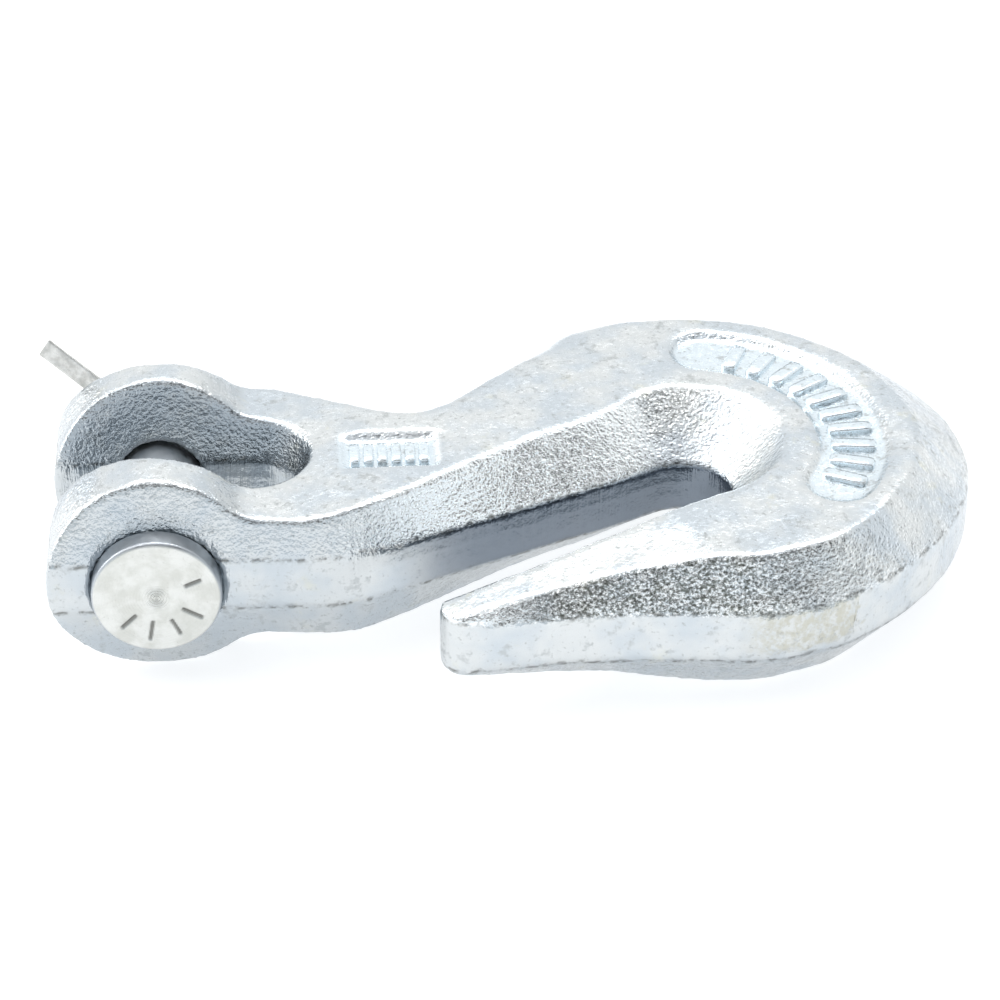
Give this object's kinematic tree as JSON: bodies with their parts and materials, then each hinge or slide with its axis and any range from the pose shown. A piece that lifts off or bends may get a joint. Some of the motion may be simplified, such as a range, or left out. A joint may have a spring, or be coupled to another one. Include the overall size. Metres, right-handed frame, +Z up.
{
  "type": "clevis grab hook",
  "caption": "Forged chain grab hook with a narrow slot for one chain link and a clevis whose headed pin is kept by a cotter.",
  "frame": {"origin": "axis of the clevis pin, midway between the two ears, at the parting line of the forging", "axes": "+X from the pin toward the bowl, +Y along the pin away from its head, +Z up, square to the flat of the hook"},
  "size_m": [0.1204, 0.0663, 0.0276],
  "materials": {
    "forging_zinc": "bright zinc plate on a forged, slightly grainy surface",
    "pin_zinc": "bright zinc plate on a turned surface",
    "cotter_zinc": "bright zinc plated half-round wire"
  },
  "bodies": {
    "hook": {"hook_body": "forging_zinc"},
    "pin": {"clevis_pin": "pin_zinc"},
    "cotter": {"cotter_pin": "cotter_zinc"}
  },
  "joints": [
    {"name": "pin_turn", "type": "hinge", "parent": "hook", "child": "pin", "pos_m": [0, 0, 0], "axis": [0, 1, 0], "continuous": true},
    {"name": "cotter_slide", "type": "slide", "parent": "pin", "child": "cotter", "axis": [-0.848, 0, 0.5299], "range_m": [-0.0005, 0.0005]}
  ]
}
